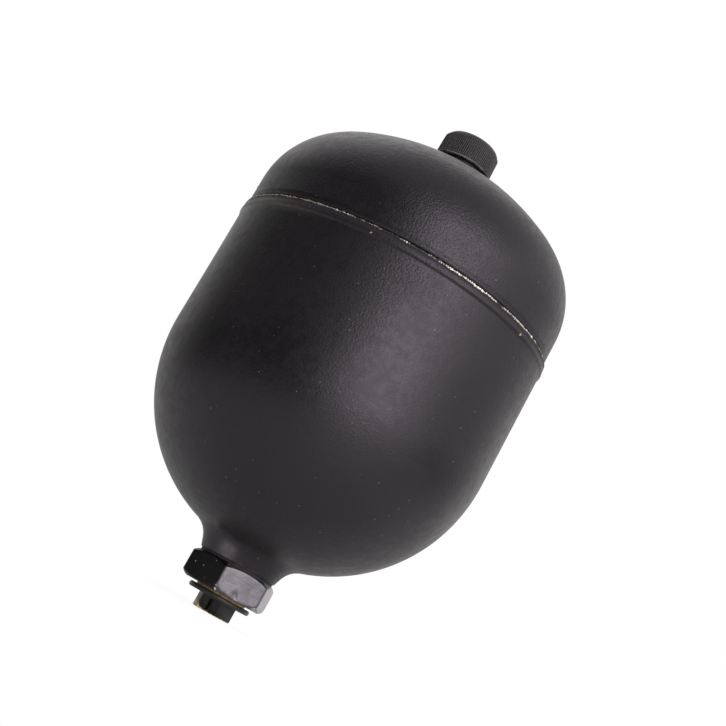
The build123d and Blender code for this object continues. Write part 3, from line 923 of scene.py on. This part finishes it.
def port():
    """Hexagon with chamfered ends and knocked corners, threaded shank, thread and passage."""
    slope = tan(radians(HEX_CHAMFER))
    hex_top_z = shank_top_z - SHANK_LENGTH
    # Each row of points is a ring at a radius and height, or a share of the way over a chamfer
    # ("low", "high") or up the hexagon's side.
    rows = [("r", PORT_MOUTH_R, 0.0)]
    rows += [("r", radius, 0.0) for radius in (14.6, 16.0, 17.4, 18.6, HEX_FACE_R - 0.3)]
    rows += [("low", part / 5, 0.0) for part in range(6)]
    rows += [("side", part / 26, 0.0) for part in range(1, 26)]
    rows += [("high", part / 5, 0.0) for part in range(5, -1, -1)]
    rows += [("r", radius, hex_top_z) for radius in (18.6, 17.4)]
    rows += [("r", SHANK_RELIEF_R, hex_top_z), ("r", SHANK_RELIEF_R, hex_top_z + SHANK_RELIEF_LENGTH)]
    z = hex_top_z + SHANK_RELIEF_LENGTH + 0.4
    while z < shank_top_z - 1.8:
        rows += [("r", SHANK_R, z), ("r", SHANK_R, z + 0.2), ("r", SHANK_R - 0.85, z + 0.7)]
        rows += [("r", SHANK_R - 0.85, z + 0.9)]
        z += THREAD_PITCH
    rows += [("r", SHANK_R - 1, shank_top_z), ("r", PASSAGE_R, shank_top_z)]
    drill_z = PORT_THREAD_DEPTH + (PORT_THREAD_R - PASSAGE_R) / tan(radians(DRILL_HALF_ANGLE))
    rows += [("r", PASSAGE_R, drill_z), ("r", PORT_THREAD_R, PORT_THREAD_DEPTH)]
    z = PORT_THREAD_DEPTH - 0.6
    while z > 2.6:
        rows += [("r", PORT_THREAD_R, z), ("r", PORT_THREAD_R, z - 0.25)]
        rows += [("r", PORT_THREAD_R + 0.7, z - 0.8), ("r", PORT_THREAD_R + 0.7, z - 1.0)]
        z -= PORT_THREAD_PITCH
    rows += [("r", PORT_THREAD_R, 0.94)]
    points, faces = [], []
    for kind, value, height in rows:
        for step in range(HEX_SEGMENTS):
            bearing = 360 * step / HEX_SEGMENTS
            side = hexagon_radius(bearing)
            drop = max(0.0, side - HEX_FACE_R) * slope
            if kind == "r":
                r, z = value, height
            elif kind == "low":
                r = HEX_FACE_R + (side - HEX_FACE_R) * value
                z = drop * value
            elif kind == "high":
                r = HEX_FACE_R + (side - HEX_FACE_R) * value
                z = hex_top_z - drop * value
            else:
                r = side
                z = drop + (hex_top_z - 2 * drop) * value
            if kind != "r":
                for place_b, place_z, size, depth, _ in knocks:
                    r -= depth * spot(bearing, z, (place_b, place_z), size, 22)
                if kind in ("low", "high") and value == 1.0:
                    r -= 0.08
            points.append((r * sin(radians(bearing)), -r * cos(radians(bearing)), z))
    count = len(rows)
    for row in range(count):
        after_row = (row + 1) % count
        for step in range(HEX_SEGMENTS):
            after = (step + 1) % HEX_SEGMENTS
            faces.append((
                row * HEX_SEGMENTS + step, row * HEX_SEGMENTS + after,
                after_row * HEX_SEGMENTS + after, after_row * HEX_SEGMENTS + step,
            ))
    piece = finish_mesh("port_hexagon", points, faces, 22)

    def nick(bearing, height):
        return max(
            bright * spot(bearing, height, (place_b, place_z), size * 0.8, 22)
            for place_b, place_z, size, _, bright in knocks
        )

    def stain(bearing, height):
        patches = sum(
            strength * spot(bearing, height, (place_b, place_z), size, 22)
            for place_b, place_z, size, strength in stains
        )
        return patches + 0.30 * exp(-abs(hex_top_z - height))

    def painted(bearing, height):
        return 0.72 if -71 < bearing < -10.5 or 112 < bearing < 168 else 0.28

    # Painted reflection on the facets between bearing 50 and 110.
    def pale(bearing, height):
        return 0.8 * max(0.0, min(1.0, (bearing - 50) / 2)) if 0 < bearing < 110 else 0.0

    paint_field(piece, "nick", nick)
    paint_field(piece, "stain", stain)
    paint_field(piece, "painted", painted)
    paint_field(piece, "pale", pale)
    return seat(piece, ["port_body"], plated_steel("phosphated_steel"))


# ---- protective cap --------------------------------------------------------------------------


def cap():
    """Push-on cap with a round shoulder, fine upright ribs and a plain rim."""
    top_corner = (CAP_TOP_R - CAP_SHOULDER_R, cap_top_z - CAP_SHOULDER_R)
    shoulder = arc(top_corner, CAP_SHOULDER_R, 0, 90, 0.5)
    outer = [(CAP_WALL_R, cap_low_z), (CAP_R - 0.4, cap_low_z), (CAP_R, cap_low_z + 0.4)]
    outer += [(CAP_R, cap_low_z + 1.0), (CAP_R - RIB_DEPTH, cap_low_z + 1.3)]
    for radius, height in shoulder:
        above = (height - shoulder[0][1]) / CAP_SHOULDER_R
        outer.append((radius - RIB_DEPTH * (1 - above) * 0.8, height))
    outer += [(7, cap_top_z - 0.02), (0, cap_top_z - 0.12)]
    inner = [(0, cap_top_z - CAP_TOP_T), (CAP_WALL_R - 1, cap_top_z - CAP_TOP_T)]
    inner += [(CAP_WALL_R, cap_top_z - CAP_TOP_T - 1)]
    piece = lathe("gas_cap", divide(outer, 1.5) + inner, 180)
    low_z, high_z = cap_low_z + 1.1, cap_top_z - CAP_SHOULDER_R + 1.4
    tree = Tree("cap_ribs", {
        "Rib Count": RIB_COUNT, "Rib Radius": RIB_R * MM, "Wall Radius": (CAP_R - 0.40) * MM,
        "Low End": low_z * MM, "High End": high_z * MM, "Lean": atan2(CAP_R - CAP_TOP_R, 11.0),
    })
    line = tree.add(
        "GeometryNodeCurvePrimitiveLine",
        End=tree.vector(0.0, 0.0, tree.math("SUBTRACT", tree.size("High End"), tree.size("Low End"))),
    )
    fine = tree.add("GeometryNodeResampleCurve", Curve=line.outputs[0], Count=9)
    along = tree.add("GeometryNodeSplineParameter").outputs["Factor"]
    middle = tree.math("SUBTRACT", tree.math("MULTIPLY", along, 2.0), 1.0)
    ends = tree.math("POWER", tree.math("ABSOLUTE", middle), 8.0)
    width = tree.math("SUBTRACT", 1.0, tree.math("MULTIPLY", ends, 0.75))
    round_end = tree.add("GeometryNodeSetCurveRadius", Curve=fine.outputs[0], Radius=width)
    section = tree.add("GeometryNodeCurvePrimitiveCircle", Resolution=8, Radius=tree.size("Rib Radius"))
    rib = tree.add(
        "GeometryNodeCurveToMesh", Curve=round_end.outputs[0], Profile_Curve=section.outputs[0],
        Fill_Caps=True,
    )
    ring = tree.add(
        "GeometryNodeMeshCircle", Vertices=tree.size("Rib Count"), Radius=tree.size("Wall Radius")
    )
    points = tree.add("GeometryNodeMeshToPoints", Mesh=ring.outputs[0])
    placed = tree.add(
        "GeometryNodeSetPosition", Geometry=points.outputs[0],
        Offset=tree.vector(0.0, 0.0, tree.size("Low End")),
    )
    index = tree.add("GeometryNodeInputIndex").outputs[0]
    turn = tree.math("DIVIDE", tree.math("MULTIPLY", index, 2 * pi), tree.size("Rib Count"))
    stand = tree.add(
        "FunctionNodeEulerToRotation",
        Euler=tree.vector(0.0, tree.math("MULTIPLY", tree.size("Lean"), -1.0), turn),
    )
    ribs = tree.add(
        "GeometryNodeInstanceOnPoints", Points=placed.outputs[0], Instance=rib.outputs[0],
        Rotation=stand.outputs[0],
    )
    tree.grow(piece, tree.join(tree.start.outputs[0], ribs.outputs[0]), cap_plastic("cap_plastic"))
    piece.data.shade_smooth()
    piece.data.set_sharp_from_angle(angle=radians(40))
    return seat(piece, ["protective_cap"])


# ---- transport plug --------------------------------------------------------------------------


def plug():
    """Slotted hexagon plug, its moulded edges rounded."""
    source = bpy.data.objects["transport_plug"]
    mesh = source.data.copy()
    work = bmesh.new()
    work.from_mesh(mesh)
    bmesh.ops.remove_doubles(work, verts=work.verts, dist=2e-6)
    bmesh.ops.dissolve_limit(work, angle_limit=radians(0.6), verts=work.verts, edges=work.edges)
    work.to_mesh(mesh)
    work.free()
    mesh.name = "port_plug"
    piece = bpy.data.objects.new("port_plug", mesh)
    bpy.context.scene.collection.objects.link(piece)
    soft = piece.modifiers.new("soft_edges", "BEVEL")
    soft.width = 0.22 * MM
    soft.segments = 2
    soft.limit_method = "ANGLE"
    soft.angle_limit = radians(28)
    state = bpy.context.evaluated_depsgraph_get()
    piece.data = bpy.data.meshes.new_from_object(piece.evaluated_get(state), depsgraph=state)
    piece.modifiers.clear()
    piece.data.shade_smooth()
    piece.data.set_sharp_from_angle(angle=radians(40))

    def spray(bearing, height):
        if height > -1.0:
            return 0.1
        if height > -3.5:
            return 0.95
        low = max(0.0, (plug_low_z + 1.0 - height) / 1.0)
        side = min(1.0, max(0.0, (cos(radians(bearing - 17)) - 0.36) / 0.18))
        return 0.15 + 0.85 * side - 0.8 * low

    # Painted sheen: 0.55 on the flange, up to 0.85 on the head facets from bearing 17 to 80.
    def thin(bearing, height):
        if height > -4.2:
            return 0.55
        return 0.85 * min(1.0, max(0.0, (bearing - 14) / 3)) * (bearing < 80)

    paint_field(piece, "spray", spray)
    paint_field(piece, "thin", thin)
    return seat(piece, ["transport_plug"], plug_plastic("plug_plastic"))


# ---- pieces ----------------------------------------------------------------------------------

paint = black_paint("satin_black_paint")
seat(shell_lower(), ["fluid_side_shell"], paint)
seat(shell_upper(), ["gas_side_shell"], paint)
weld()
spatter(paint)
port()
cap()
plug()

inside = machined_steel("turned_steel")
soft_parts = rubber("nitrile_rubber", (0.012, 0.012, 0.012), (0.030, 0.029, 0.028), 420)
seals = rubber("seal_rubber", (0.010, 0.010, 0.010), (0.020, 0.019, 0.018), 800)
finishes = {
    "clamp_ring": inside, "closing_button": inside, "gas_charging_screw": inside,
    "bladder": soft_parts, "screw_seal_ring": seals, "port_sealing_washer": seals,
}
for node, finish in finishes.items():
    for slot in bpy.data.objects[node].material_slots:
        slot.material = finish

# ---- floor, light and camera -----------------------------------------------------------------


def floor():
    """Pale floor that shows white to the camera and still keeps the shadow."""
    f = Finish("pale_floor")
    grain = f.noise(30, 3)
    f.show(f.blend(grain, (0.72, 0.72, 0.72), (0.76, 0.76, 0.76)), 0.7)
    glow = f.nodes.new("ShaderNodeEmission")
    glow.inputs["Strength"].default_value = 1.15
    ray = f.nodes.new("ShaderNodeLightPath")
    away = f.nodes.new("ShaderNodeVectorMath")
    away.operation = "LENGTH"
    f.links.new(f.place, away.inputs[0])
    shown = f.step(away.outputs["Value"], 0.15, FLOOR_R - 0.05, 0.78, 1.0)
    share = f.math("MULTIPLY", ray.outputs["Is Camera Ray"], shown)
    share = f.math("ADD", share, f.math("MULTIPLY", ray.outputs["Is Glossy Ray"], 0.06))
    mix = f.nodes.new("ShaderNodeMixShader")
    f.links.new(share, mix.inputs[0])
    f.links.new(f.shader.outputs[0], mix.inputs[1])
    f.links.new(glow.outputs[0], mix.inputs[2])
    f.links.new(mix.outputs[0], f.nodes["Material Output"].inputs["Surface"])
    z = cad_box[0][2]
    turns = [2 * pi * step / 96 for step in range(96)]
    rim = [(FLOOR_R * cos(turn), FLOOR_R * sin(turn), z) for turn in turns]
    mesh = bpy.data.meshes.new("floor")
    mesh.from_pydata(rim, [], [list(range(96))])
    mesh.materials.append(f.material)
    ground = bpy.data.objects.new("floor", mesh)
    bpy.context.scene.collection.objects.link(ground)


def lamp(name, location, facing, width, height, radiance, spread=180.0):
    """Rectangular lamp that shines along its own -Z; radiance 1 shows as white."""
    light = bpy.data.lights.new(name, "AREA")
    light.shape = "RECTANGLE"
    light.size, light.size_y = width, height
    light.energy = radiance * pi * width * height
    light.spread = radians(spread)
    holder = bpy.data.objects.new(name, light)
    holder.location = location
    holder.rotation_mode = "QUATERNION"
    holder.rotation_quaternion = facing
    holder.visible_camera = False
    bpy.context.scene.collection.objects.link(holder)


def softbox(name, bearing, elevation, distance, width, height, radiance):
    """Lamp at a bearing and elevation that faces the middle of the object."""
    b, e = radians(bearing), radians(elevation)
    away = Vector((sin(b) * cos(e), -cos(b) * cos(e), sin(e)))
    facing = away.to_track_quat("Z", "Y")
    lamp(name, Vector((0, 0, OBJECT_MIDDLE)) + away * distance, facing, width, height, radiance)


def room():
    """World: white to the camera, bright behind the object and dim in front of it."""
    world = bpy.data.worlds.new("studio")
    bpy.context.scene.world = world
    world.use_nodes = True
    nodes, links = world.node_tree.nodes, world.node_tree.links
    direction = nodes.new("ShaderNodeTexCoord").outputs["Generated"]
    axes = nodes.new("ShaderNodeSeparateXYZ")
    links.new(direction, axes.inputs[0])

    def rise(axis, low, high, start, end):
        node = nodes.new("ShaderNodeMapRange")
        node.interpolation_type = "SMOOTHSTEP"
        links.new(axes.outputs[axis], node.inputs["Value"])
        for name, value in zip(("From Min", "From Max", "To Min", "To Max"), (low, high, start, end)):
            node.inputs[name].default_value = value
        return node.outputs["Result"]

    total = nodes.new("ShaderNodeMath")
    links.new(rise("Y", 0.15, 1.0, 0.06, 0.80), total.inputs[0])
    links.new(rise("Z", 0.25, 0.9, 0.0, 0.50), total.inputs[1])
    side = nodes.new("ShaderNodeMath")
    links.new(total.outputs[0], side.inputs[0])
    links.new(rise("X", 0.2, 0.95, 0.0, 0.35), side.inputs[1])
    ray = nodes.new("ShaderNodeLightPath")
    strength = nodes.new("ShaderNodeMix")
    links.new(ray.outputs["Is Camera Ray"], strength.inputs["Factor"])
    links.new(side.outputs[0], strength.inputs["A"])
    strength.inputs["B"].default_value = 1.0
    background = nodes["Background"]
    background.inputs["Color"].default_value = (1, 1, 1, 1)
    links.new(strength.outputs["Result"], background.inputs["Strength"])


floor()
room()
softbox("key", 20, 13, 1.3, 0.80, 0.95, 2.7)
softbox("key_wide", 28, 14, 1.3, 1.60, 1.15, 1.5)
softbox("fill", 80, 25, 1.4, 1.0, 1.0, 0.4)
softbox("back_left", -125, 48, 1.4, 1.2, 1.2, 0.55)
# Small gridded card near the foot that shines up on the neck only.
card_place = Vector((-0.027, -0.038, 0.0))
card_facing = (card_place - Vector((-0.007, -0.0195, 0.0225))).to_track_quat("Z", "Y")
lamp("neck_card", card_place, card_facing, 0.027, 0.020, 0.5, spread=70.0)

camera = bpy.data.objects.new("camera", bpy.data.cameras.new("camera"))
camera.data.lens = 62.0
camera.data.sensor_width = 36.0
camera.data.clip_start = 0.01
camera.matrix_world = (
    Matrix.Translation(CAMERA_PLACE)
    @ Matrix.Rotation(radians(CAMERA_TILT), 4, "X")
    @ Matrix.Rotation(radians(CAMERA_ROLL), 4, "Z")
)
bpy.context.scene.collection.objects.link(camera)
bpy.context.scene.camera = camera
bpy.context.scene.view_settings.view_transform = "Standard"
